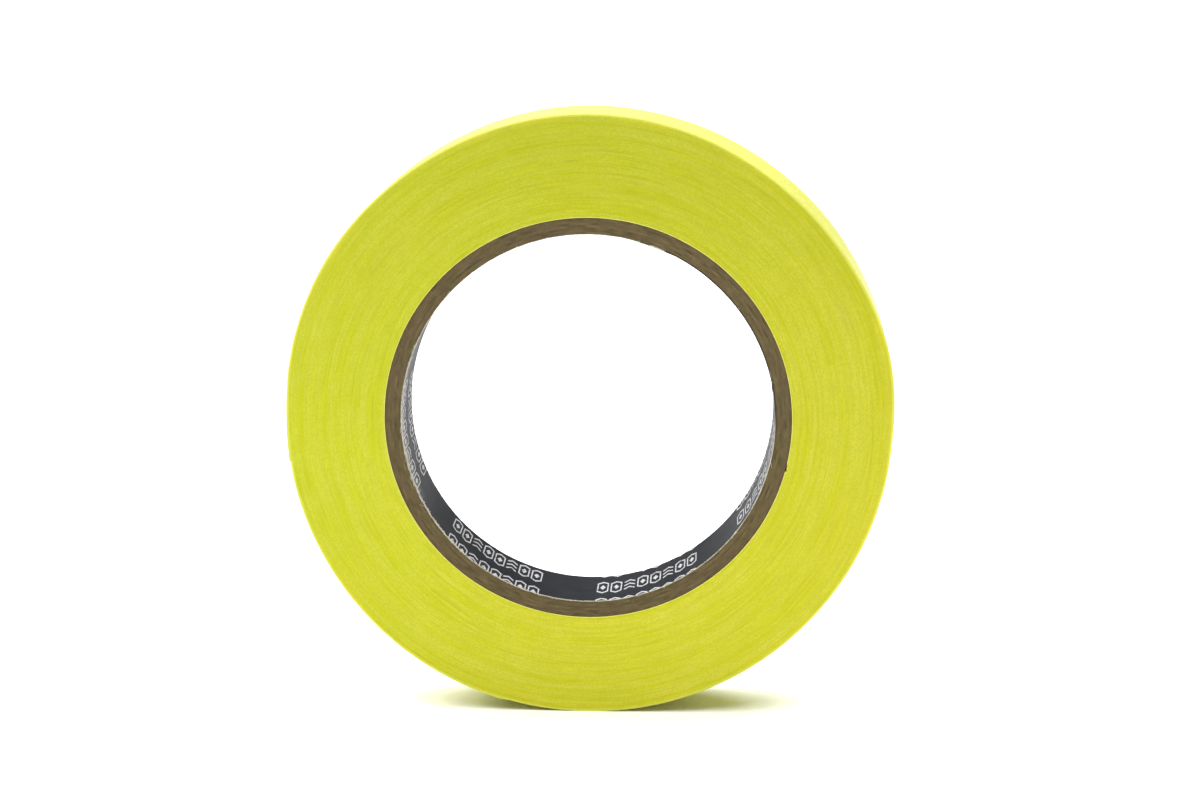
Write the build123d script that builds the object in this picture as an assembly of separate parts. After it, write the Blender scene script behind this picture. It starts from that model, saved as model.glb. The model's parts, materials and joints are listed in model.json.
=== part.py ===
from build123d import *
from math import degrees, pi, sqrt
import os

# A roll of masking tape standing on its rim.
#
# Frame: millimetres, +Z up, origin at the centre of the bore. The roll's axis is Y, and the
# front side face looks towards -Y. Profiles are drawn in the XZ plane and extruded along Y.
# Angles are counter-clockwise from +X, seen from the front.
#
# From the bore outwards the roll is a printed liner, seven chipboard plies and an outer wrap,
# glued into one spiral-wound core tube, and then one long web of tape wound on it. The web is
# split where it differs: its first turn on the core, the pack of turns, the last turn, and the
# free end that lifts off.

# Tape
TAPE_WIDTH = 19.05  # 3/4 inch
TAPE_THICKNESS = 0.1335  # crepe backing with its adhesive
TAPE_LENGTH = 50_000.0

# Core tube, 3 inch bore
BORE_RADIUS = 38.1
LINER_THICKNESS = 0.13
PLY_THICKNESS = 0.45
PLY_COUNT = 7
WRAP_THICKNESS = 0.15

# Each paper strip of the core is wound in a helix and butts against itself along a slanted seam
CORE_LEAD = 109.0  # axial advance of a strip in one turn
SEAM_WIDTH = 0.5  # along the circumference
LINER_SEAM_ANGLE = 66.6  # all seam angles are at the front face
FIRST_PLY_SEAM_ANGLE = 129.0
PLY_SEAM_STAGGER = 360 * 3 / PLY_COUNT
WRAP_SEAM_ANGLE = 219.7

# Ends of the tape
START_ANGLE = 346.0  # where the first turn begins on the core
START_GAP = 0.25
FREE_END_ROOT_ANGLE = 170.0  # where the free end still holds to the roll
FREE_END_LENGTH = 20.0
FREE_END_LIFT = 0.05  # air under the free end and at its root

# The roll's weight presses its last turns flat where it stands
CONTACT_SAG = 0.15

# Derived sizes
CORE_RADIUS = BORE_RADIUS + LINER_THICKNESS + PLY_COUNT * PLY_THICKNESS + WRAP_THICKNESS
FIRST_TURN_RADIUS = CORE_RADIUS + TAPE_THICKNESS
ROLL_RADIUS = sqrt(CORE_RADIUS**2 + TAPE_LENGTH * TAPE_THICKNESS / pi)
FLOOR_Z = -(ROLL_RADIUS - CONTACT_SAG)
CUT_ANGLE = FREE_END_ROOT_ANGLE + degrees(FREE_END_LENGTH / ROLL_RADIUS)
HALF_WIDTH = TAPE_WIDTH / 2
REACH = 2 * ROLL_RADIUS  # longer than anything it has to cut


def extrude_across(profile):
    """The profile, drawn in local XY, as a solid across the tape's width with its Y upright."""
    return Rot(90, 0, 0) * extrude(profile, HALF_WIDTH, both=True)


def ring(inner_radius, thickness):
    return Circle(inner_radius + thickness) - Circle(inner_radius)


def slanted_seam(inner_radius, thickness, front_angle):
    """A helical blade that opens the butt seam of one strip. The front face is at local +Z."""
    overrun = 1.0
    height = TAPE_WIDTH + 2 * overrun
    twist = 360 * height / CORE_LEAD
    lead_in = 360 * overrun / CORE_LEAD
    section = Pos(inner_radius + thickness / 2, 0) * Rectangle(2 * thickness, SEAM_WIDTH)
    wire = (Pos(0, 0, -height / 2) * section).face().outer_wire()
    blade = Solid.extrude_linear_with_rotation(wire, (0, 0, -height / 2), (0, 0, height), twist)
    return Rot(0, 0, front_angle - twist + lead_in) * blade


def core_strip(inner_radius, thickness, seam_angle):
    """One paper strip of the core, slit to the tape's width."""
    strip = extrude(ring(inner_radius, thickness), HALF_WIDTH, both=True)
    return Rot(90, 0, 0) * (strip - slanted_seam(inner_radius, thickness, seam_angle))


def spiral_outline(mean_radius, floor_z):
    """A face bounded by one turn of the tape's spiral and flat where the roll stands.

    Two half turns, whose centres lie half a tape thickness apart, run smoothly into each other
    and leave a step of one tape thickness at the cut end.
    """
    shift = TAPE_THICKNESS / 4
    near, far = mean_radius - shift, mean_radius + shift
    first_half = CenterArc((-shift, 0), near, 0, 180)
    second_half = CenterArc((shift, 0), far, 180, 180)
    step = Line(second_half @ 1, first_half @ 0)
    turn = make_face([first_half, second_half, step])
    above_floor = Pos(0, floor_z + REACH / 2) * Rectangle(REACH, REACH)
    return (Rot(0, 0, CUT_ANGLE) * turn) & above_floor


def sector(from_angle, to_angle):
    """A wedge from the roll's centre, for cutting a stretch out of a turn."""
    corners = [Vector(REACH, 0).rotate(Axis.Z, angle) for angle in (from_angle, to_angle)]
    return make_face(Polyline((0, 0), *corners, (0, 0)))


def build_core():
    parts = {"core_liner": core_strip(BORE_RADIUS, LINER_THICKNESS, LINER_SEAM_ANGLE)}
    radius = BORE_RADIUS + LINER_THICKNESS
    for index in range(PLY_COUNT):
        seam_angle = FIRST_PLY_SEAM_ANGLE + index * PLY_SEAM_STAGGER
        parts[f"core_ply_{index + 1}"] = core_strip(radius, PLY_THICKNESS, seam_angle)
        radius += PLY_THICKNESS
    parts["core_wrap"] = core_strip(radius, WRAP_THICKNESS, WRAP_SEAM_ANGLE)
    return parts


def build_tape():
    pack_radius = ROLL_RADIUS - TAPE_THICKNESS
    pack_outline = spiral_outline(pack_radius, FLOOR_Z + TAPE_THICKNESS)
    roll_outline = spiral_outline(ROLL_RADIUS, FLOOR_Z)
    lifted_inside = spiral_outline(pack_radius + FREE_END_LIFT, FLOOR_Z)
    lifted_outside = spiral_outline(ROLL_RADIUS + FREE_END_LIFT, FLOOR_Z)
    root_gap = degrees(FREE_END_LIFT / ROLL_RADIUS)

    start_slit = Pos(FIRST_TURN_RADIUS, 0) * Rectangle(4 * TAPE_THICKNESS, START_GAP)
    first_turn = ring(CORE_RADIUS, TAPE_THICKNESS) - Rot(0, 0, START_ANGLE) * start_slit
    wound_tape = pack_outline - Circle(FIRST_TURN_RADIUS)
    outer_turn = roll_outline - pack_outline - sector(FREE_END_ROOT_ANGLE, CUT_ANGLE)
    free_end = (lifted_outside - lifted_inside) & sector(FREE_END_ROOT_ANGLE + root_gap, CUT_ANGLE)
    return {
        "tape_first_turn": extrude_across(first_turn),
        "wound_tape": extrude_across(wound_tape),
        "tape_outer_turn": extrude_across(outer_turn),
        "tape_free_end": extrude_across(free_end),
    }


os.makedirs("parts", exist_ok=True)
for name, part in {**build_core(), **build_tape()}.items():
    export_step(part, f"parts/{name}.step")
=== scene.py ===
import json
from math import cos, pi, radians, sin

import bpy
import numpy as np
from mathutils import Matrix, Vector


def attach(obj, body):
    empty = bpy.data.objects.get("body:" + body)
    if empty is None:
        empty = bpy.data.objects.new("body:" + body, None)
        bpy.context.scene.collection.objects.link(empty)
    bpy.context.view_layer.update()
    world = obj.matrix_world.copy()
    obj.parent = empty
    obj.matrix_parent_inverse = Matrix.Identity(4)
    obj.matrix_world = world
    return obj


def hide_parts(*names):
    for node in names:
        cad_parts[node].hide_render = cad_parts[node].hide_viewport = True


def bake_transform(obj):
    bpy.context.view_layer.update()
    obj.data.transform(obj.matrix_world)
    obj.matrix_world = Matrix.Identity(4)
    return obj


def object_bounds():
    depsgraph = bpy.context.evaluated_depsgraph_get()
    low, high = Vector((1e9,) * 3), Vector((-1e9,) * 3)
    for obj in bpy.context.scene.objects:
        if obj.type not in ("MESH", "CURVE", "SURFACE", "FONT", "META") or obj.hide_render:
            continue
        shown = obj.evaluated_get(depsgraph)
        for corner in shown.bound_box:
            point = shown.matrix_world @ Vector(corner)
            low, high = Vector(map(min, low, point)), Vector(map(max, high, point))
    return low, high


# A roll of masking tape standing on its rim on a white floor. Metres, +Z up, origin at the centre
# of the bore, roll axis along Y with the front side face towards -Y. Angles are in turns or
# degrees, counter-clockwise from +X seen from the front.

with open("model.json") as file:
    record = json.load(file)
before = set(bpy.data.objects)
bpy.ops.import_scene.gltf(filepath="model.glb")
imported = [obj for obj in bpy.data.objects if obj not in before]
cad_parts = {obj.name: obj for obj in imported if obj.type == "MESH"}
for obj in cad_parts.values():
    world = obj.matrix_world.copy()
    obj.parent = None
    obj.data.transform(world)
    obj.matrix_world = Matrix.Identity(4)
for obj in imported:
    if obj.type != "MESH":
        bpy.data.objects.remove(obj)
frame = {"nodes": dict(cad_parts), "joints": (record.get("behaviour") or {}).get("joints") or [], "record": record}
cad_low, cad_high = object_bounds()

MM = 0.001
FRONT, BACK = -1, 1

# Sizes from the frame
bore_mount = next(m for m in frame["record"]["mounts"] if m["name"] == "core_bore")
peel_joint = frame["joints"][0]
BORE_RADIUS = bore_mount["dims"]["r_mm"] * MM
HALF_WIDTH = bore_mount["dims"]["length_mm"] * MM / 2
FLOOR_Z = cad_low.z
PEEL_PIVOT = Vector(peel_joint["pos_m"])

# Thicknesses of the layers, and the radii that they add up to
TAPE_THICKNESS = 0.1335 * MM
LINER_THICKNESS = 0.13 * MM
PLY_THICKNESS = 0.45 * MM
PLY_COUNT = sum(name.startswith("core_ply_") for name in frame["nodes"])
WRAP_THICKNESS = 0.15 * MM
PLIES_FROM = BORE_RADIUS + LINER_THICKNESS
WRAP_FROM = PLIES_FROM + PLY_COUNT * PLY_THICKNESS
CORE_RADIUS = WRAP_FROM + WRAP_THICKNESS
PACK_FROM = CORE_RADIUS + TAPE_THICKNESS
CONTACT_SAG = 0.15 * MM
ROLL_RADIUS = CONTACT_SAG - FLOOR_Z
PACK_TURNS = round((ROLL_RADIUS - TAPE_THICKNESS - PACK_FROM) / TAPE_THICKNESS)

# Where the tape ends, in turns
ROOT_TURN = np.arctan2(PEEL_PIVOT.z, PEEL_PIVOT.x) / (2 * pi) % 1
FREE_END_LENGTH = 20 * MM
CUT_TURN = ROOT_TURN + FREE_END_LENGTH / (2 * pi * ROLL_RADIUS)
START_DEG = 346.0
START_VOID_DEG = START_DEG + 0.7  # the middle of the void that the turns leave beside the start

# The last turns aren't quite round. A kinked fold rises slowly and falls off sharply, and slow
# swells and hollows have a height in mm, a middle and a half width in degrees.
FOLD_MM = 0.26
FOLD_RISES_DEG = (196, 238)
FOLD_FALLS_DEG = (252.6, 255)
SWELLS = (
    (0.58, 13, 19),
    (0.32, 90, 38),
    (0.16, 148, 20),
    (-0.22, 48, 22),
    (-0.35, 180, 16),
)

# Core seams: a paper strip advances this far along the tube in one turn
CORE_LEAD = 109 * MM
SLANT = 2 * HALF_WIDTH / CORE_LEAD
SEAM_WIDTH = 0.45 * MM
LINER_SEAM_DEG = 66.6
LINER_LAP = 3.0 * MM
LINER_LAP_RISE = 0.16 * MM
FIRST_PLY_SEAM_DEG = 129.0
PLY_SEAM_STAGGER_DEG = 360 * 3 / PLY_COUNT
WRAP_SEAM_DEG = 219.7

# The print on the liner: groups of marks in rows, each group further forward than the one before
PRINT_FROM_DEG = 220.5
PRINT_PITCH_DEG = 360 / 7
PRINT_DROP_MM = 3.08
FIRST_ROW_MM = 13.2
ROW_PITCH_MM = 12.3
MARK_PITCH_DEG = 4.28
MARKS_PER_GROUP = 8

# Mesh fineness
PACK_STEPS = 280
CORE_STEPS = 720
CREPE_STEP = 0.125 * MM
STRIP_ROWS = 24
HIDDEN_ROWS = 6  # across the inside of the last turn, where nothing shows
SHARP_FROM_DEG = 50
FIBRE_COUNT = 170


def value_noise(turn, share, cells_round, cells_along, seed):
    """Smooth random values from -1 to 1 that close on themselves after one turn."""
    lattice = np.random.default_rng(seed).uniform(-1, 1, (cells_round, cells_along + 2))
    u = (turn % 1.0) * cells_round
    v = np.clip(share, 0, 1) * cells_along
    column, row = np.floor(u).astype(int), np.floor(v).astype(int)
    fu, fv = u - column, v - row
    fu, fv = fu * fu * (3 - 2 * fu), fv * fv * (3 - 2 * fv)
    left, right = column % cells_round, (column + 1) % cells_round
    near = lattice[left, row] * (1 - fu) + lattice[right, row] * fu
    far = lattice[left, row + 1] * (1 - fu) + lattice[right, row + 1] * fu
    return near * (1 - fv) + far * fv


def ramp(value, start, end):
    """0 before start, 1 after end, smooth between."""
    share = np.clip((value - start) / (end - start), 0, 1)
    return share * share * (3 - 2 * share)


# ---------------------------------------------------------------- mesh building

# Places in the tape's list of materials
# The last two places are copies of the slit edge with painted highlight, strong and then weaker, for the outermost
# rows of the side faces where the rim catches the light.
EDGE, CREPE, ADHESIVE, PAINTED_RIM_HIGHLIGHT, PART_PAINTED_RIM_HIGHLIGHT = range(5)


def section(rows_through, rows_across, rows_inside=None):
    """The closed outline of a layer's cross-section, as shares of its thickness (0 inside, 1
    outside) and of its half width (-1 front, 1 back), with the side that each point starts. The
    outermost rows of the front and back are sides of their own, "rim" and then "near_rim"."""
    through = np.linspace(0, 1, rows_through + 1)
    across = np.linspace(-1, 1, rows_across + 1)
    inside = across if rows_inside is None else np.linspace(-1, 1, rows_inside + 1)
    names = (["rim"] + ["near_rim"] * 2 + ["side"] * rows_through)[:rows_through]
    sides = [
        (through[:-1], np.full(rows_through, -1.0), names[::-1]),
        (np.ones(rows_across), across[:-1], ["outside"] * rows_across),
        (through[:0:-1], np.full(rows_through, 1.0), names),
        (np.zeros(len(inside) - 1), inside[:0:-1], ["inside"] * (len(inside) - 1)),
    ]
    depth = np.concatenate([side[0] for side in sides])
    width = np.concatenate([side[1] for side in sides])
    label = sum((side[2] for side in sides), [])
    return depth, width, label


def wrapped_mesh(name, turn, radius, y, closed, materials, slot_of_side, label):
    """A tube mesh from stations of one cross-section: arrays of shape (stations, points)."""
    angle = turn * 2 * pi
    points = np.stack([radius * np.cos(angle), y, radius * np.sin(angle)], -1)
    stations, count = radius.shape
    spans = stations if closed else stations - 1
    i = np.repeat(np.arange(spans), count)
    j = np.tile(np.arange(count), spans)
    i_next, j_next = (i + 1) % stations, (j + 1) % count
    here, along = i * count, i_next * count
    faces = np.stack([here + j, here + j_next, along + j_next, along + j], -1).tolist()
    slots = [slot_of_side[label[k]] for k in range(count)] * spans
    if not closed:
        faces.append(list(range(count - 1, -1, -1)))
        faces.append(list(range((stations - 1) * count, stations * count)))
        slots += [slot_of_side["side"]] * 2
    mesh = bpy.data.meshes.new(name)
    mesh.from_pydata(points.reshape(-1, 3).tolist(), [], faces)
    mesh.polygons.foreach_set("material_index", slots)
    mesh.polygons.foreach_set("use_smooth", [True] * len(faces))
    for material in materials:
        mesh.materials.append(material)
    mesh.update()
    mesh.set_sharp_from_angle(angle=radians(SHARP_FROM_DEG))
    piece = bpy.data.objects.new(name, mesh)
    bpy.context.scene.collection.objects.link(piece)
    return piece


# ---------------------------------------------------------------- how the roll is wound


def hump(turn, centre_deg, half_width_deg):
    """1 at one place round the roll, falling smoothly to 0 either side of it."""
    away = np.abs((turn * 360 - centre_deg + 180) % 360 - 180)
    return 1 - ramp(away, 0, half_width_deg)


def out_of_round(turn):
    """How far the last turns stand out or are pressed in."""
    degree = (turn % 1) * 360
    fold = FOLD_MM * ramp(degree, *FOLD_RISES_DEG) * (1 - ramp(degree, *FOLD_FALLS_DEG))
    swells = sum(height * hump(turn, middle, half) for height, middle, half in SWELLS)
    return (fold + swells) * MM


def spiral_radius(turn, layers_out=0.0, across=0.0):
    """The outer surface of the pack of turns, or of a turn that many layers further out. At the
    upper right the last turns are wound looser towards the back, so that they flare there."""
    since_cut = (turn - CUT_TURN) % 1.0
    mean = ROLL_RADIUS + (layers_out - 1) * TAPE_THICKNESS
    flare = 0.75 * MM * hump(turn, 40, 42) * ramp(across / HALF_WIDTH, -1.0, 1.0)
    return mean + TAPE_THICKNESS * (since_cut - 0.5) + out_of_round(turn) + flare


def stand_on_floor(turn, radius, depth):
    """Presses what would be under the floor up to it: depth is how far inside the rim it lies."""
    floor = FLOOR_Z + depth
    down = np.sin(turn * 2 * pi)
    with np.errstate(divide="ignore"):
        limit = np.where(down < -0.5, floor / np.minimum(down, -0.5), 1.0)
    return np.minimum(radius, limit)


def slit_offset(turn, radius):
    """How far the slit edges of the turns stand out of the side face. Single turns wander a
    little, and bands of turns a little more."""
    depth = (ROLL_RADIUS - radius) / (ROLL_RADIUS - CORE_RADIUS)
    bands = 0.035 * MM * value_noise(turn, depth, 5, 26, 11)
    fine = 0.020 * MM * value_noise(turn, depth, 9, PACK_TURNS, 12)
    finest = 0.012 * MM * value_noise(turn, depth, 40, PACK_TURNS, 13)
    return bands + fine + finest


def rounded_rim(turn, radius, side):
    """How far the edges of the last turns, rounded off by rubbing, sit back, most on the front
    at the upper right, where the turns lean."""
    lean = hump(turn, 45, 34)
    reach = (0.34 + (0.75 * lean if side == FRONT else 0)) * MM
    inside = np.clip((spiral_radius(turn, 1.0, side * HALF_WIDTH) - radius) / reach, 0, 1)
    drop = 1 - np.sqrt(np.clip(1 - (1 - inside) ** 2, 0, 1))
    return drop * (0.30 + (0.55 * lean if side == FRONT else 0)) * MM


def start_bridge(turn):
    """How far the first turns bulge where they bridge the void beside the tape's start."""
    return 0.20 * MM * hump(turn, START_VOID_DEG, 1.7)


def start_dent(turn, depth):
    """How far the wrap's outer surface is dented by the start of the tape."""
    return -0.14 * MM * depth * hump(turn, START_VOID_DEG, 1.4)


def crepe(turn, across):
    """Crinkles of crepe paper: short ridges across the tape, about three to a millimetre."""
    share = (across / HALF_WIDTH + 1) / 2
    coarse = value_noise(turn, share, 560, 9, 21)
    ridges = value_noise(turn, share, 1150, 14, 22)
    return (0.016 * coarse + 0.014 * ridges) * MM


def make_wound_turns(materials):
    """The pack of turns up to where the last one starts, as one ring with a step there."""
    depth, width, label = section(PACK_TURNS, 8)
    step = 0.02 * MM / (2 * pi * ROLL_RADIUS)
    near_start = (START_VOID_DEG + np.linspace(-1.8, 1.8, 7)) / 360 - CUT_TURN
    share = np.sort(np.concatenate([np.linspace(step, 1 - step, PACK_STEPS), near_start % 1]))
    turn = (CUT_TURN + share)[:, None]
    outer = stand_on_floor(turn, spiral_radius(turn, 0.0, width * HALF_WIDTH), TAPE_THICKNESS)
    inner = PACK_FROM + start_bridge(turn)
    radius = inner + depth * (outer - inner)
    turn = np.broadcast_to(turn, radius.shape)
    y = np.broadcast_to(width * HALF_WIDTH, radius.shape).copy()
    for direction, shift in ((FRONT, 0.0), (BACK, 0.37)):
        stands_out = slit_offset(turn + shift, radius) - rounded_rim(turn, radius, direction)
        y += np.where(width == direction, direction * stands_out, 0)
    slots = {"side": EDGE, "outside": CREPE, "inside": EDGE}
    # The outermost rows of each side face get painted highlight, strongest on the outermost row.
    slots.update({"rim": PAINTED_RIM_HIGHLIGHT, "near_rim": PART_PAINTED_RIM_HIGHLIGHT})
    return wrapped_mesh("wound_turns", turn, radius, y, True, materials, slots, label)


def make_strip(name, start, end, lift, end_wave, rows_inside, materials):
    """A stretch of the last turn with its crepe surface. lift and end_wave are functions of the
    share along the stretch and of the place across the tape, in metres."""
    depth, width, label = section(1, STRIP_ROWS, rows_inside)
    length = (end - start) * 2 * pi * ROLL_RADIUS
    stations = int(length / CREPE_STEP)
    share = np.linspace(0, 1, stations)[:, None]
    across = np.broadcast_to(width * HALF_WIDTH, (stations, len(width)))
    turn = start + share * ((end - start) + end_wave(across) / (2 * pi * ROLL_RADIUS))
    inner = stand_on_floor(turn, spiral_radius(turn, 0.0, across), TAPE_THICKNESS)
    outer = stand_on_floor(turn, spiral_radius(turn, 1.0, across) + crepe(turn, across), 0.0)
    radius = inner + depth * (outer - inner)
    y = across.copy()
    for direction in (FRONT, BACK):
        y -= np.where(width == direction, direction * rounded_rim(turn, radius, direction), 0)
    radius = radius + lift(share, across / HALF_WIDTH)
    # The rim rows of the last turn get the slit edge with painted highlight.
    slots = {"side": EDGE, "outside": CREPE, "inside": ADHESIVE, "rim": PAINTED_RIM_HIGHLIGHT}
    return wrapped_mesh(name, turn, radius, y, False, materials, slots, label)


def no_lift(share, across):
    return np.zeros(np.broadcast(share, across).shape)


def straight_end(across):
    return np.zeros(across.shape)


def free_lift(share, across):
    """The free end has come off a little, most at its tip and at the back corner."""
    return (0.02 + 0.05 * share**2 + 0.16 * ramp(share, 0.55, 1.0) * (1 + across) / 2) * MM


def torn_end(across):
    """The free end was torn off by hand."""
    place = (across / HALF_WIDTH + 1) / 2
    coarse = 0.30 * value_noise(0.5, place, 3, 6, 31)
    fine = 0.12 * value_noise(0.5, place, 3, 23, 32)
    return (coarse + fine) * MM


def make_core_layer(
    name, inner, thickness, seam_deg, material, *, slant, roughness, inset, seed, raised=None
):
    """One strip of paper round the core: a ring with rough slit edges and a butt seam. slant is
    how many turns the seam goes back over the width of the core, inset is how far the edges sit
    back, and raised is a function of the turn and the depth for how far its surface is moved."""
    depth, width, label = section(3, 24 if slant else 3)
    gap = SEAM_WIDTH / (2 * pi * inner)
    share = np.linspace(gap / 2, 1 - gap / 2, CORE_STEPS)[:, None]
    turn = seam_deg / 360 + share - slant * (width + 1) / 2
    radius = np.broadcast_to(inner + depth * thickness, turn.shape)
    if raised:
        radius = radius + raised(turn, depth)
    place = np.broadcast_to(depth, turn.shape)
    rough = 0.6 * value_noise(turn, place, 150, 2, seed)
    rough = rough + 0.4 * value_noise(turn, place, 610, 4, seed + 1)
    slow = value_noise(turn, place, 7, 1, seed + 2)
    stands_out = roughness * (rough + 0.7 * slow) - inset
    y = width * (HALF_WIDTH + np.where(np.abs(width) == 1, stands_out, 0))
    slots = dict.fromkeys(("side", "rim", "near_rim", "outside", "inside"), 0)
    return wrapped_mesh(name, turn, radius, y, False, [material], slots, label)


def make_liner(materials):
    """The printed lining of the bore. One edge of the paper laps over the other at the seam."""
    depth, width, label = section(1, 40)
    lap = LINER_LAP / (2 * pi * BORE_RADIUS)
    share = np.linspace(0, 1 + lap, CORE_STEPS)[:, None]
    turn = LINER_SEAM_DEG / 360 + share - SLANT * (width + 1) / 2
    on_top = 1 - ramp(share, 1.2 * lap, 2.6 * lap)
    radius = BORE_RADIUS + depth * LINER_THICKNESS - on_top * LINER_LAP_RISE
    edge = np.zeros(turn.shape)
    frayed = value_noise(turn, edge, 420, 1, 51) + value_noise(turn, edge, 90, 1, 52)
    y = width * (HALF_WIDTH + np.where(np.abs(width) == 1, (0.05 * frayed - 0.02) * MM, 0))
    slots = {"side": 1, "rim": 1, "outside": 1, "inside": 0}
    return wrapped_mesh("bore_liner", turn, radius, y, False, materials, slots, label)


def make_fibres(count, material):
    """Loose paper fibres along both edges of the lining, thickest at the left of the front."""
    rng = np.random.default_rng(77)
    points, faces = [], []
    for _ in range(count):
        side = FRONT if rng.random() < 0.7 else BACK
        gathered = side == FRONT and rng.random() < 0.7
        degree = rng.normal(205, 28) if gathered else rng.uniform(0, 360)
        length, thick = rng.uniform(0.3, 1.1) * MM, rng.uniform(0.015, 0.030) * MM
        angle = radians(degree)
        round_axis = Vector((-sin(angle), 0, cos(angle)))
        inwards = Vector((-cos(angle), 0, -sin(angle)))
        start = -inwards * (BORE_RADIUS + rng.uniform(-0.02, 0.3) * MM)
        start.y = side * (HALF_WIDTH - 0.04 * MM)
        heading = round_axis * rng.normal(0, 1) + inwards * rng.uniform(-0.1, 0.5)
        heading = (heading + Vector((0, side * rng.uniform(0.0, 0.35), 0))).normalized()
        curl = round_axis * rng.normal(0, 0.3) + inwards * rng.normal(0, 0.2)
        across = heading.cross(Vector((0, 1, 0))).normalized() * thick
        above = heading.cross(across).normalized() * thick
        first = len(points)
        for step in (0, 0.33, 0.67, 1.0):
            centre = start + (heading * step + curl * step * step) * length
            corners = (centre + across, centre + above, centre - across - above)
            points += [tuple(corner) for corner in corners]
        for ring in range(3):
            a = first + 3 * ring
            faces += [(a + k, a + (k + 1) % 3, a + 3 + (k + 1) % 3, a + 3 + k) for k in range(3)]
        faces += [(first + 2, first + 1, first), (first + 9, first + 10, first + 11)]
    mesh = bpy.data.meshes.new("core_fibres")
    mesh.from_pydata(points, [], faces)
    mesh.materials.append(material)
    piece = bpy.data.objects.new("core_fibres", mesh)
    bpy.context.scene.collection.objects.link(piece)
    return piece


# ---------------------------------------------------------------- materials


class Recipe:
    """A node material with short calls for the few kinds of node used here."""

    def __init__(self, name, roughness, specular=0.5):
        self.material = bpy.data.materials.new(name)
        self.material.use_nodes = True
        self.tree = self.material.node_tree
        self.shader = self.tree.nodes["Principled BSDF"]
        self.shader.inputs["Roughness"].default_value = roughness
        self.shader.inputs["Specular IOR Level"].default_value = specular
        self.place = self.add("ShaderNodeTexCoord").outputs["Object"]

    def add(self, kind, links=(), **settings):
        node = self.tree.nodes.new(kind)
        for key, value in settings.items():
            setattr(node, key, value)
        for socket, source in dict(links).items():
            if isinstance(source, bpy.types.NodeSocket):
                self.tree.links.new(source, node.inputs[socket])
            else:
                node.inputs[socket].default_value = source
        return node

    def math(self, operation, a, b=0.0):
        return self.add("ShaderNodeMath", {0: a, 1: b}, operation=operation).outputs[0]

    def vector(self, operation, a, b=(0, 0, 0)):
        node = self.add("ShaderNodeVectorMath", {0: a, 1: b}, operation=operation)
        return node.outputs["Value" if operation in ("LENGTH", "DOT_PRODUCT") else "Vector"]

    def across_axis(self):
        """The place without its share along the roll's axis."""
        return self.vector("MULTIPLY", self.place, (1, 0, 1))

    def radius(self):
        return self.vector("LENGTH", self.across_axis())

    def degree(self):
        x, _, z = self.add("ShaderNodeSeparateXYZ", {0: self.place}).outputs
        return self.math("MULTIPLY", self.math("ARCTAN2", z, x), 180 / pi)

    def wound(self, along, outwards, across=0.0, wander=0.0):
        """Coordinates that are stretched along the turns: along is in waves per radian, the
        other two are in waves per metre. wander moves the turns outwards and back."""
        round_axis = self.vector("NORMALIZE", self.across_axis())
        spread = self.vector("MULTIPLY", round_axis, (along, along, along))
        height = self.math("MULTIPLY", self.math("ADD", self.radius(), wander), outwards)
        y = self.add("ShaderNodeSeparateXYZ", {0: self.place}).outputs[1]
        width = self.math("MULTIPLY", y, across)
        lift = self.add("ShaderNodeCombineXYZ", {1: self.math("ADD", height, width)}).outputs[0]
        return self.vector("ADD", spread, lift)

    def noise(self, vector, scale, detail=2.0, roughness=0.5, offset=0.0):
        if offset:
            vector = self.vector("ADD", vector, (offset, offset, offset))
        links = {"Vector": vector, "Scale": scale, "Detail": detail, "Roughness": roughness}
        return self.add("ShaderNodeTexNoise", links).outputs["Fac"]

    def between(self, value, low, high, to_low=0.0, to_high=1.0):
        """low to high of the value as to_low to to_high, clamped."""
        links = {"Value": value, "From Min": low, "From Max": high}
        links.update({"To Min": to_low, "To Max": to_high})
        return self.add("ShaderNodeMapRange", links, clamp=True).outputs["Result"]

    def mix(self, factor, a, b):
        node = self.add("ShaderNodeMix", data_type="RGBA")
        for index, source in ((0, factor), (6, a), (7, b)):
            if isinstance(source, bpy.types.NodeSocket):
                self.tree.links.new(source, node.inputs[index])
            elif index == 0:
                node.inputs[index].default_value = source
            else:
                node.inputs[index].default_value = (*source, 1)
        return node.outputs[2]

    def tinted(self, colour, tint):
        node = self.add("ShaderNodeMix", data_type="RGBA", blend_type="MULTIPLY")
        node.inputs[0].default_value = 1.0
        self.tree.links.new(colour, node.inputs[6])
        node.inputs[7].default_value = (*tint, 1)
        return node.outputs[2]

    def colour(self, source):
        self.tree.links.new(source, self.shader.inputs["Base Color"])

    def bump(self, height, distance, strength=1.0):
        links = {"Height": height, "Distance": distance, "Strength": strength}
        node = self.add("ShaderNodeBump", links)
        self.tree.links.new(node.outputs[0], self.shader.inputs["Normal"])

    def spot(self, degree, radius, half_along, half_out):
        """1 at a point of the side face and 0 from these distances on, round and outwards."""
        centre = Vector((cos(radians(degree)), 0, sin(radians(degree))))
        away = self.vector("SUBTRACT", self.across_axis(), tuple(centre * radius))
        out = self.math("DIVIDE", self.vector("DOT_PRODUCT", away, tuple(centre)), half_out)
        along_axis = (-centre.z, 0, centre.x)
        along = self.math("DIVIDE", self.vector("DOT_PRODUCT", away, along_axis), half_along)
        away = self.add("ShaderNodeCombineXYZ", {0: out, 1: along}).outputs[0]
        return self.between(self.vector("LENGTH", away), 0.2, 1.0, 1.0, 0.0)


TAPE_YELLOW = (0.465, 0.457, 0.013)
TAPE_DEEP = (0.352, 0.354, 0.010)
TAPE_PALE = (0.497, 0.480, 0.074)
TAPE_WARM = (0.470, 0.410, 0.032)
# Painted highlight: the pale colour of the outermost rows of the side faces.
TAPE_RIM_HIGHLIGHT = (0.600, 0.630, 0.120)
DUST = (0.54, 0.43, 0.03)
SMUDGE = (0.36, 0.30, 0.07)
DARK_DASH = (0.16, 0.15, 0.03)
# Painted shade: the dark line along the join of the lining and the board.
PAINTED_GAP_SHADE = (0.016, 0.017, 0.017)


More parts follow.
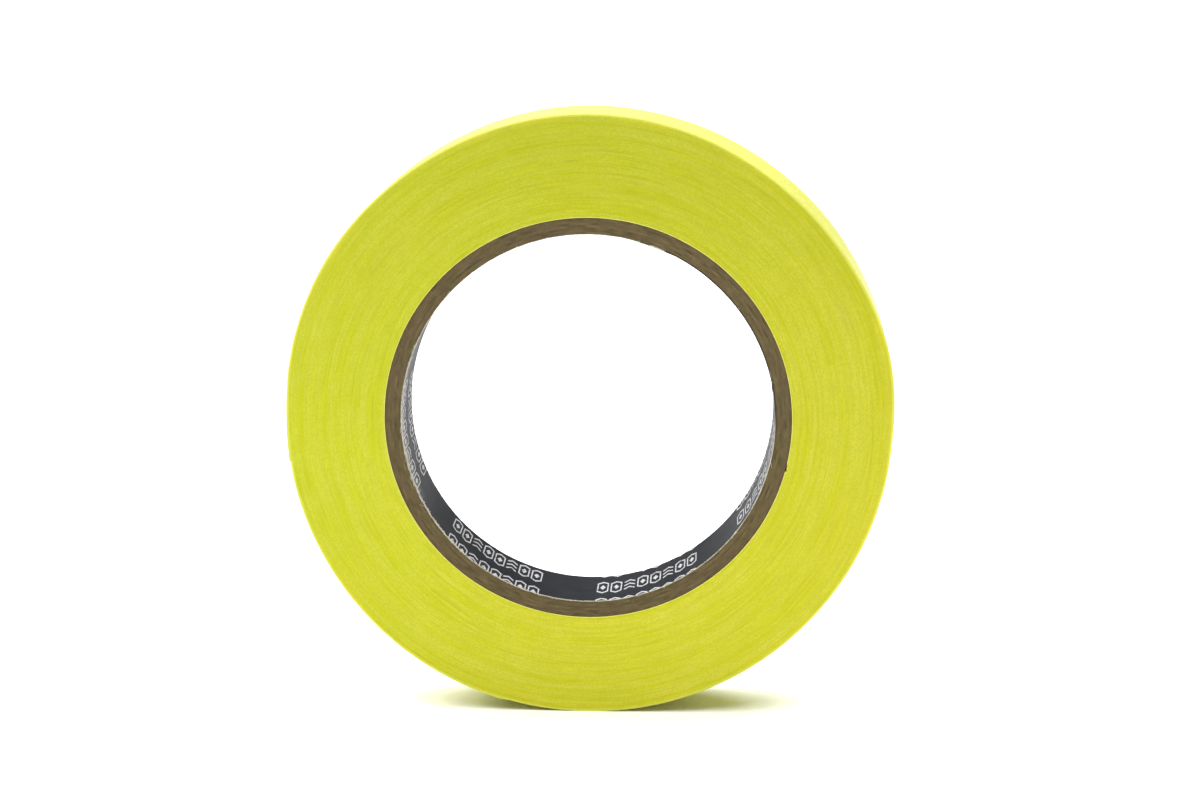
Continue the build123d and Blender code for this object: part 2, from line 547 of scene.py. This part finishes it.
def slit_edge_material(name, frayed=0.0):
    """The side of the roll: the slit edges of all the turns, seen as fine broken arcs. frayed is
    how much painted highlight pales the colour, on the outermost rows of the side faces."""
    m = Recipe(name, 0.8, 0.15)
    wander = m.math("MULTIPLY", m.noise(m.place, 45.0, 1.0, offset=5.0), 0.18 * MM)
    fine = m.noise(m.wound(5.5, 1 / (0.17 * MM), wander=wander), 1.0, 2.0, 0.7)
    lines = m.noise(m.wound(2.8, 1 / (0.25 * MM), wander=wander), 1.0, 2.0, 0.6, offset=19.7)
    bands = m.noise(m.wound(1.0, 1 / (0.85 * MM), wander=wander), 1.0, 2.0, offset=7.3)
    clouds = m.noise(m.place, 60.0, 3.0, 0.6, offset=3.1)
    patches = m.noise(m.place, 170.0, 2.0, 0.6, offset=11.0)
    specks = m.noise(m.place, 2400.0, 2.0)
    grain = m.noise(m.place, 3300.0, 1.0, 0.5)
    colour = m.mix(m.between(fine, 0.32, 0.62), TAPE_DEEP, TAPE_YELLOW)
    colour = m.mix(m.between(bands, 0.38, 0.66, 0.0, 0.42), colour, TAPE_PALE)
    colour = m.mix(m.between(patches, 0.45, 0.75, 0.0, 0.25), colour, TAPE_PALE)
    colour = m.mix(m.between(lines, 0.54, 0.72, 0.0, 0.80), colour, TAPE_PALE)
    colour = m.mix(m.between(clouds, 0.50, 0.75, 0.0, 0.30), colour, TAPE_WARM)
    colour = m.mix(m.between(specks, 0.60, 0.80, 0.0, 0.35), colour, TAPE_DEEP)
    colour = m.mix(m.between(grain, 0.42, 0.62, 0.0, 0.50), colour, TAPE_DEEP)
    # Painted shade: the upper left of the side face is darker and more green.
    slope = m.vector("DOT_PRODUCT", m.place, (0.80, 0.0, -0.60))
    painted_shade_upper_left = m.between(slope, -0.040, 0.020, 1.0, 0.0)
    colour = m.mix(painted_shade_upper_left, colour, m.tinted(colour, (0.925, 0.985, 0.90)))
    # Painted shade: darker towards the top of the side face, a little to the right.
    height = m.between(m.vector("DOT_PRODUCT", m.place, (0.45, 0.0, 0.89)), -0.030, 0.055)
    colour = m.mix(height, colour, m.tinted(colour, (0.82, 0.83, 0.80)))
    edge = m.between(m.radius(), ROLL_RADIUS - 1.3 * MM, ROLL_RADIUS - 0.5 * MM)
    dusty = m.math("MULTIPLY", edge, m.between(clouds, 0.45, 0.65, 0.0, 0.35))
    colour = m.mix(dusty, colour, DUST)
    smudge = m.spot(23, 56.3 * MM, 4.2 * MM, 1.1 * MM)
    smudge = m.math("MULTIPLY", smudge, m.between(fine, 0.3, 0.7))
    colour = m.mix(m.math("MULTIPLY", smudge, 0.45), colour, SMUDGE)
    dash = m.spot(93.7, 53.0 * MM, 2.0 * MM, 0.16 * MM)
    colour = m.mix(m.math("MULTIPLY", dash, 0.55), colour, DARK_DASH)
    # Painted highlight: a paler colour on the outermost rows of the side faces, where the rim catches the light.
    if frayed:
        colour = m.mix(frayed, colour, TAPE_RIM_HIGHLIGHT)
    m.colour(colour)
    m.bump(m.math("ADD", fine, lines), 0.03 * MM, 0.5)
    return m.material


def crepe_material():
    """The back of the tape: saturated crepe paper with a soft sheen on its crinkles. Its colour is
    darker in the crinkles' valleys and paler on their ridges: painted shade and highlight.
    """
    m = Recipe("tape_crepe", 0.42, 0.5)
    crinkles = m.noise(m.wound(160.0, 40.0, 420.0), 1.0, 3.0, 0.6)
    clouds = m.noise(m.place, 90.0, 2.0)
    # Painted shade and highlight: darker in the crinkles' valleys, paler on their ridges.
    colour = m.mix(m.between(crinkles, 0.34, 0.66), (0.50, 0.515, 0.014), (0.66, 0.665, 0.105))
    colour = m.mix(m.between(clouds, 0.40, 0.75, 0.0, 0.4), colour, (0.60, 0.605, 0.040))
    m.colour(colour)
    m.bump(crinkles, 0.05 * MM, 0.65)
    return m.material


def adhesive_material():
    """The sticky side: the same paper under a thin, slightly cloudy rubber film."""
    m = Recipe("tape_adhesive", 0.28, 0.5)
    crinkles = m.noise(m.wound(160.0, 40.0, 420.0), 1.0, 3.0, 0.6)
    # Painted shade: the colour follows the crinkles, darker in their valleys and paler on their ridges.
    m.colour(m.mix(m.between(crinkles, 0.30, 0.72), (0.44, 0.42, 0.07), (0.56, 0.53, 0.16)))
    m.bump(crinkles, 0.03 * MM, 0.35)
    return m.material


def gap_shade_stretch(m):
    """1 from the lining's seam clockwise to the right: the stretch where painted shade darkens the join of the
    lining and the board.
    """
    before_seam = m.between(m.degree(), LINER_SEAM_DEG - 1, LINER_SEAM_DEG, 1.0, 0.0)
    return m.math("MULTIPLY", m.between(m.degree(), -8.0, 2.0), before_seam)


def board_material(name, tint, seed):
    """Recycled chipboard, slit: grey-brown, cloudy, with darker and rusty fibres."""
    m = Recipe(name, 0.9, 0.2)
    clouds = m.noise(m.place, 300.0, 4.0, 0.6, seed)
    fibres = m.noise(m.wound(34.0, 1 / (0.16 * MM)), 1.0, 2.0, 0.6, seed + 5.0)
    grains = m.noise(m.place, 3400.0, 2.0, 0.6, seed + 9.0)
    warm = m.noise(m.place, 170.0, 2.0, 0.5, seed + 13.0)
    dark, light, rusty = (0.050, 0.037, 0.016), (0.123, 0.094, 0.047), (0.096, 0.063, 0.041)
    colour = m.mix(m.between(clouds, 0.34, 0.66), dark, light)
    colour = m.mix(m.between(warm, 0.48, 0.62, 0.0, 0.65), colour, rusty)
    colour = m.mix(m.between(fibres, 0.52, 0.80, 0.0, 0.35), colour, dark)
    colour = m.mix(m.between(grains, 0.60, 0.78, 0.0, 0.35), colour, light)
    colour = m.mix(0.25, colour, tint)
    # Painted shade on the board next to the lining, over the stretch from the seam clockwise.
    at_liner = m.between(m.radius(), PLIES_FROM + 0.10 * MM, PLIES_FROM + 0.24 * MM, 0.8, 0.0)
    m.colour(m.mix(m.math("MULTIPLY", at_liner, gap_shade_stretch(m)), colour, PAINTED_GAP_SHADE))
    m.bump(m.math("ADD", fibres, grains), 0.06 * MM, 0.6)
    return m.material


def liner_ink_material():
    """Dark grey ink on paper, with groups of small hexagons and chevrons left white. The print
    breaks off at the seam. The ink is scuffed off along the slit edges, in a wider band on the
    left and right walls; on the left wall the wider band is also painted reflection. A pale haze
    at the left of the front is painted reflection."""
    m = Recipe("liner_ink", 0.42, 0.02)
    x, y, _ = m.add("ShaderNodeSeparateXYZ", {0: m.place}).outputs
    from_front = m.math("MULTIPLY", m.math("ADD", y, HALF_WIDTH), 1 / MM)
    degree = m.degree()
    slant = m.math("MULTIPLY", from_front, 360 * MM / CORE_LEAD)
    since_seam = m.math("SUBTRACT", m.math("ADD", degree, slant), LINER_SEAM_DEG)
    since_seam = m.math("FLOORED_MODULO", since_seam, 360)
    place_round = m.math("ADD", since_seam, LINER_SEAM_DEG - PRINT_FROM_DEG)
    place_round = m.math("SUBTRACT", place_round, slant)
    group = m.math("FLOOR", m.math("DIVIDE", place_round, PRINT_PITCH_DEG))
    in_group = m.math("SUBTRACT", place_round, m.math("MULTIPLY", group, PRINT_PITCH_DEG))
    slot = m.math("DIVIDE", in_group, MARK_PITCH_DEG)
    index = m.math("FLOOR", slot)
    mark_mm = MARK_PITCH_DEG * pi / 180 * BORE_RADIUS / MM
    across = m.math("MULTIPLY", m.math("SUBTRACT", m.math("SUBTRACT", slot, index), 0.5), mark_mm)
    across = m.math("ABSOLUTE", across)
    wobble = m.math("MULTIPLY", m.math("SINE", m.math("MULTIPLY", index, 2.1)), 0.45)
    drop = m.math("ADD", m.math("MULTIPLY", group, PRINT_DROP_MM), wobble)
    from_row = m.math("ADD", m.math("SUBTRACT", from_front, FIRST_ROW_MM), drop)
    row = m.math("DIVIDE", from_row, ROW_PITCH_MM)
    along = m.math("MULTIPLY", m.math("SUBTRACT", row, m.math("ROUND", row)), ROW_PITCH_MM)
    tall = m.math("ABSOLUTE", along)

    def lozenge(half_width, half_height):
        along_share = m.math("DIVIDE", tall, half_height)
        filled = m.math("ADD", m.math("DIVIDE", across, half_width), along_share)
        return m.math("LESS_THAN", filled, 1.0)

    def tall_hexagon(half_width, half_height):
        narrow = m.math("LESS_THAN", across, half_width)
        pointed = m.math("LESS_THAN", m.math("ADD", tall, across), half_height)
        return m.math("MULTIPLY", narrow, pointed)

    rings = m.math("SUBTRACT", tall_hexagon(1.20, 4.4), tall_hexagon(0.92, 3.55))
    rings = m.math("MAXIMUM", rings, lozenge(0.60, 1.7))
    zigzag = m.math("FLOORED_MODULO", m.math("ADD", along, m.math("MULTIPLY", across, 1.2)), 2.6)
    inside = m.math("MULTIPLY", m.math("LESS_THAN", across, 1.15), m.math("LESS_THAN", tall, 3.8))
    chevrons = m.math("MULTIPLY", m.math("LESS_THAN", zigzag, 0.85), inside)
    is_third = m.math("GREATER_THAN", m.math("FLOORED_MODULO", index, 3), 1.5)
    marks = m.math("MULTIPLY", rings, m.math("SUBTRACT", 1, is_third))
    marks = m.math("ADD", marks, m.math("MULTIPLY", chevrons, is_third))
    marks = m.math("MULTIPLY", marks, m.math("LESS_THAN", index, MARKS_PER_GROUP - 0.5))
    broken = m.between(m.noise(m.place, 1500.0, 2.0), 0.30, 0.42)
    marks = m.math("MULTIPLY", marks, broken)

    scuff_and_sheen_noise = m.noise(m.wound(60.0, 0.0, 500.0), 1.0, 4.0, 0.65)
    # The pale band reaches further in on the left and right walls; on the left wall this is partly painted
    # reflection of the grazing wall.
    to_left = m.between(x, -BORE_RADIUS, -0.6 * BORE_RADIUS, 1.0, 0.16)
    to_right = m.between(x, 0.85 * BORE_RADIUS, 0.94 * BORE_RADIUS, 0.0, 0.9)
    reach = m.between(scuff_and_sheen_noise, 0.32, 0.68, 0.1, 2.6)
    reach = m.math("MULTIPLY", reach, m.math("MAXIMUM", to_left, to_right))
    front_scuffs_and_reflection = m.math("LESS_THAN", from_front, reach)
    back_reach = m.math("SUBTRACT", 2 * HALF_WIDTH / MM, m.math("MULTIPLY", reach, 0.5))
    back_scuffs_and_reflection = m.math("GREATER_THAN", from_front, back_reach)
    scuffs_and_reflection = m.math("MAXIMUM", front_scuffs_and_reflection, back_scuffs_and_reflection)
    clouds = m.noise(m.place, 160.0, 3.0)
    mottle = m.noise(m.place, 1900.0, 2.0)
    ink = m.mix(m.between(clouds, 0.3, 0.7), (0.008, 0.009, 0.012), (0.014, 0.015, 0.019))
    ink = m.mix(m.between(mottle, 0.55, 0.80, 0.0, 0.30), ink, (0.040, 0.040, 0.048))
    ink = m.mix(m.math("MULTIPLY", marks, 0.95), ink, (0.46, 0.46, 0.47))
    # Painted reflection: a pale haze from the front edge over the left wall.
    painted_reflection_left_front = m.between(from_front, 0.5, 6.5, 0.8, 0.0)
    painted_reflection_left_front = m.math("MULTIPLY", painted_reflection_left_front, m.between(scuff_and_sheen_noise, 0.30, 0.55))
    painted_reflection_left_front = m.math("MULTIPLY", painted_reflection_left_front, m.between(x, -BORE_RADIUS, -0.88 * BORE_RADIUS, 1.0, 0.0))
    ink = m.mix(painted_reflection_left_front, ink, (0.42, 0.42, 0.41))
    m.colour(m.mix(scuffs_and_reflection, ink, (0.36, 0.34, 0.30)))
    m.bump(m.noise(m.place, 900.0, 2.0), 0.04 * MM, 0.4)
    return m.material


def liner_edge_material():
    """The slit edge of the lining: pale torn paper, but painted dark with shade from the seam clockwise."""
    m = Recipe("liner_edge", 0.85, 0.3)
    mottle = m.noise(m.place, 1200.0, 3.0, 0.6)
    paper = m.mix(m.between(mottle, 0.35, 0.65), (0.20, 0.18, 0.15), (0.50, 0.47, 0.43))
    # Painted shade from the seam clockwise.
    m.colour(m.mix(gap_shade_stretch(m), paper, PAINTED_GAP_SHADE))
    m.bump(mottle, 0.03 * MM, 0.4)
    return m.material


def plain_paper_material(name, colour, lighter, roughness):
    m = Recipe(name, roughness, 0.3)
    mottle = m.noise(m.place, 1200.0, 3.0, 0.6)
    m.colour(m.mix(m.between(mottle, 0.3, 0.7), colour, lighter))
    m.bump(mottle, 0.03 * MM, 0.4)
    return m.material


def floor_material():
    m = Recipe("studio_floor", 0.6, 0.2)
    clouds = m.between(m.noise(m.place, 6.0, 2.0), 0.3, 0.7)
    m.colour(m.mix(clouds, (0.86, 0.86, 0.86), (0.88, 0.88, 0.88)))
    return m.material


# ---------------------------------------------------------------- the roll


def stands_for(piece, node):
    """Puts a piece on the roll in the place of a node of the frame."""
    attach(piece, "roll")
    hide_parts(node)


def build_roll():
    edge = slit_edge_material("tape_slit_edge")
    # Copies of the slit edge with painted highlight, strong and weaker, for the outermost rows of the side faces.
    painted_rim_highlight = slit_edge_material("tape_painted_rim_highlight", 0.8)
    part_painted_rim_highlight = slit_edge_material("tape_part_painted_rim_highlight", 0.35)
    tape = [edge, crepe_material(), adhesive_material(), painted_rim_highlight, part_painted_rim_highlight]
    stands_for(make_wound_turns(tape), "wound_tape")

    root_turn = ROOT_TURN + 1
    last = make_strip("last_turn", CUT_TURN, root_turn, no_lift, straight_end, HIDDEN_ROWS, tape)
    stands_for(last, "tape_outer_turn")

    free = make_strip("free_end", ROOT_TURN, CUT_TURN, free_lift, torn_end, STRIP_ROWS, tape)
    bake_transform(free)
    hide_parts("tape_free_end")

    pale = plain_paper_material("first_turn_edge", (0.51, 0.49, 0.09), (0.61, 0.58, 0.19), 0.8)
    first = make_core_layer(
        "first_turn",
        CORE_RADIUS,
        TAPE_THICKNESS,
        START_DEG,
        pale,
        slant=0,
        roughness=0.02 * MM,
        inset=-0.03 * MM,
        seed=71,
        raised=lambda turn, depth: start_bridge(turn),
    )
    stands_for(first, "tape_first_turn")


def build_core():
    for index in range(PLY_COUNT):
        tint = (0.108, 0.084, 0.044) if index % 2 else (0.085, 0.066, 0.033)
        ply = make_core_layer(
            f"board_ply_{index + 1}",
            PLIES_FROM + index * PLY_THICKNESS,
            PLY_THICKNESS,
            FIRST_PLY_SEAM_DEG + index * PLY_SEAM_STAGGER_DEG,
            board_material(f"chipboard_{index + 1}", tint, 10.0 + 3.7 * index),
            slant=SLANT,
            roughness=0.035 * MM,
            inset=(0.05 + 0.03 * (index % 3)) * MM,
            seed=40 + 3 * index,
        )
        stands_for(ply, f"core_ply_{index + 1}")
    wrap = make_core_layer(
        "core_wrap_paper",
        WRAP_FROM,
        WRAP_THICKNESS,
        WRAP_SEAM_DEG,
        plain_paper_material("core_wrap_paper", (0.055, 0.040, 0.018), (0.095, 0.072, 0.036), 0.85),
        slant=SLANT,
        roughness=0.02 * MM,
        inset=0.14 * MM,
        seed=66,
        raised=start_dent,
    )
    stands_for(wrap, "core_wrap")
    liner = make_liner([liner_ink_material(), liner_edge_material()])
    stands_for(liner, "core_liner")
    loose = plain_paper_material("loose_fibre", (0.50, 0.48, 0.42), (0.66, 0.64, 0.58), 0.9)
    fibres = make_fibres(FIBRE_COUNT, loose)
    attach(fibres, "roll")


# ---------------------------------------------------------------- studio

# Strength of the white world: bright to the camera, and giving little light of its own
WORLD_AS_LIGHT, WORLD_AS_SEEN = 0.11, 1.05


def build_floor():
    mesh = bpy.data.meshes.new("floor")
    reach = 12.0
    corners = [(x * reach, y * reach, FLOOR_Z) for x, y in ((-1, -1), (1, -1), (1, 1), (-1, 1))]
    mesh.from_pydata(corners, [], [(0, 1, 2, 3)])
    mesh.materials.append(floor_material())
    floor = bpy.data.objects.new("floor", mesh)
    bpy.context.scene.collection.objects.link(floor)


def add_area(name, place, aim, size, power, colour):
    light = bpy.data.lights.new(name, "AREA")
    light.shape = "RECTANGLE"
    light.size, light.size_y = size
    light.energy = power
    light.color = colour
    lamp = bpy.data.objects.new(name, light)
    lamp.location = place
    lamp.rotation_euler = (Vector(aim) - Vector(place)).to_track_quat("-Z", "Y").to_euler()
    lamp.visible_camera = False
    bpy.context.scene.collection.objects.link(lamp)


def build_lights():
    """Soft light from overhead and a little to the left, a bright backdrop, a dim room in front."""
    world = bpy.data.worlds.new("studio")
    bpy.context.scene.world = world
    world.use_nodes = True
    nodes, links = world.node_tree.nodes, world.node_tree.links
    background = nodes["Background"]
    background.inputs["Color"].default_value = (1, 1, 1, 1)
    seen = nodes.new("ShaderNodeLightPath")
    strength = nodes.new("ShaderNodeMix")
    strength.inputs[2].default_value = WORLD_AS_LIGHT
    strength.inputs[3].default_value = WORLD_AS_SEEN
    links.new(seen.outputs["Is Camera Ray"], strength.inputs[0])
    links.new(strength.outputs[0], background.inputs["Strength"])
    sun = bpy.data.lights.new("overhead_softbox", "SUN")
    sun.energy = 7.6
    sun.angle = radians(100)
    lamp = bpy.data.objects.new("overhead_softbox", sun)
    lamp.rotation_euler = Vector((0.21, -0.18, -1)).to_track_quat("-Z", "Y").to_euler()
    bpy.context.scene.collection.objects.link(lamp)
    add_area("backdrop", (0, 1.1, 0.42), (0, 0, 0.05), (2.2, 0.8), 2.6, (1, 1, 1))
    low_place, low_aim = (0.05, -0.25, -0.045), (0, 0, -0.03)
    add_area("low_fill", low_place, low_aim, (0.30, 0.03), 0.26, (1.0, 0.99, 0.52))


def build_camera():
    """A long lens a little above and to the right of the roll's axis."""
    azimuth, elevation, distance = radians(2.7), radians(11.7), 0.538
    back = Vector((sin(azimuth) * cos(elevation), -cos(azimuth) * cos(elevation), sin(elevation)))
    right = Vector((cos(azimuth), sin(azimuth), 0))
    up = back.cross(right)
    camera = bpy.data.cameras.new("camera")
    camera.sensor_width = 36
    camera.lens = 77.9
    camera.clip_start, camera.clip_end = 0.01, 60
    holder = bpy.data.objects.new("camera", camera)
    aim = right * 2.1 * MM + up * 2.08 * MM
    holder.location = back * distance
    holder.rotation_euler = (aim - holder.location).to_track_quat("-Z", "Y").to_euler()
    bpy.context.scene.collection.objects.link(holder)
    bpy.context.scene.camera = holder


bpy.context.scene.view_settings.view_transform = "Standard"
build_camera()
build_floor()
build_lights()
build_core()
build_roll()

bpy.context.view_layer.update()
